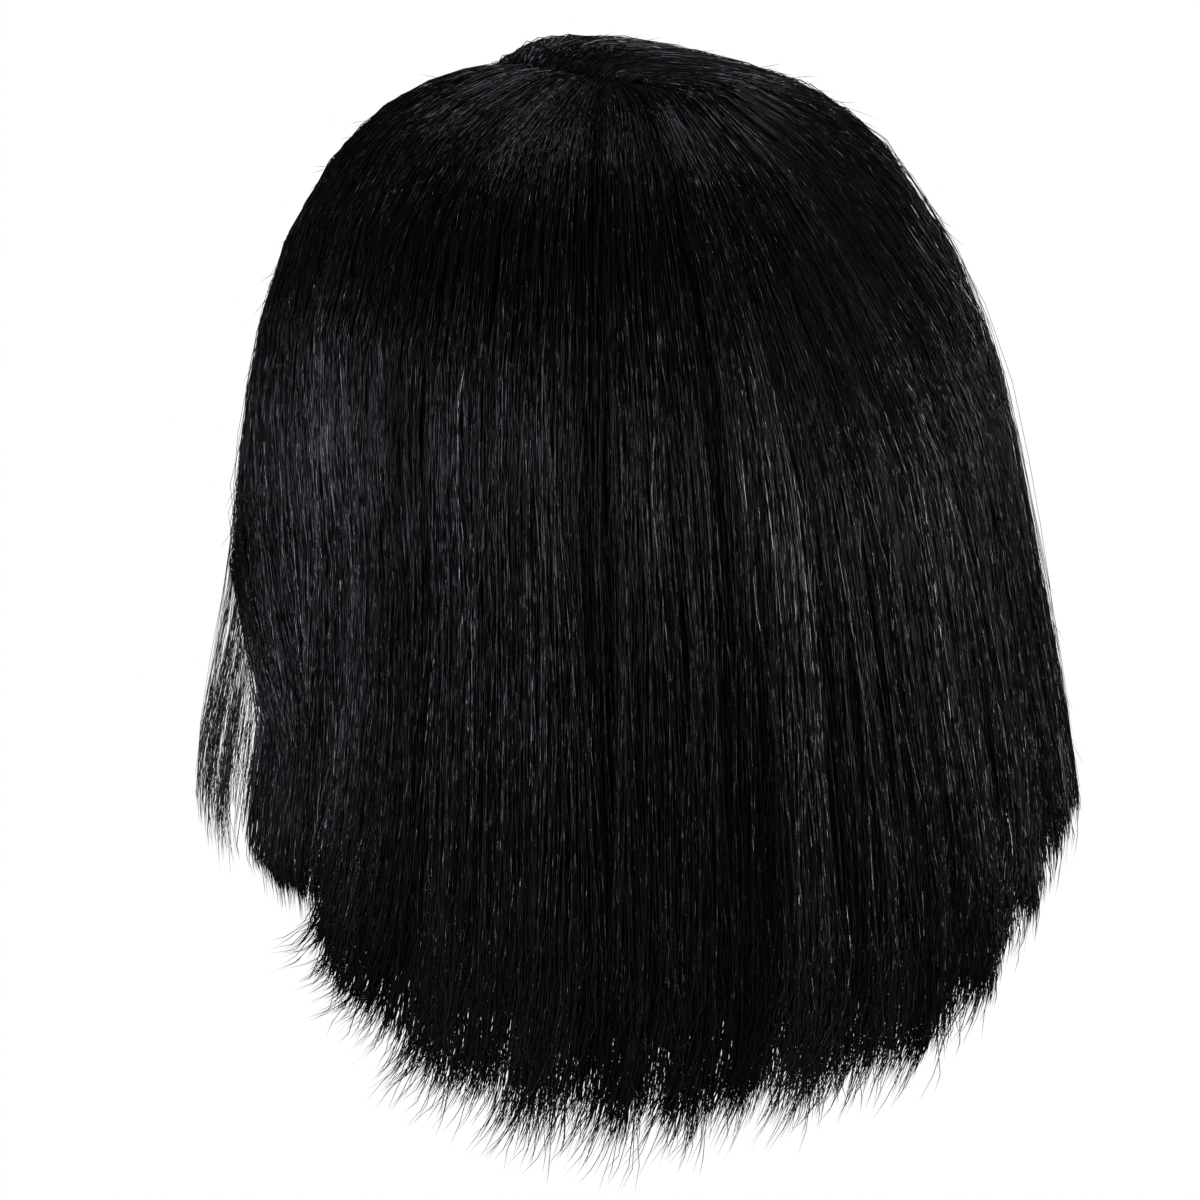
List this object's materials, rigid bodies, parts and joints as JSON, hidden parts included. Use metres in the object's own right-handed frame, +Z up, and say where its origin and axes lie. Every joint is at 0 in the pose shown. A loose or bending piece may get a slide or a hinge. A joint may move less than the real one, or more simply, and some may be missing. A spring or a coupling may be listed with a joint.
{
  "type": "short wig",
  "caption": "Short black bob wig with a middle part, textured straight hair in loose locks and an open net cap.",
  "frame": {"origin": "the point inside the cap that rests on the crown of the head", "axes": "+Z up, the face side towards -Y, the wearer's left towards +X"},
  "size_m": [0.2276, 0.2219, 0.2399],
  "materials": {
    "hair": "black textured fibre, soft sheen",
    "cap_net": "matt black net with wefts",
    "part_lace": "matt dark lace"
  },
  "bodies": {
    "root": {"cap": "cap_net", "part_strip": "part_lace", "front_lock_left": "hair", "hair_left": "hair", "hair_back": "hair", "hair_right": "hair", "front_lock_right": "hair"}
  },
  "joints": []
}
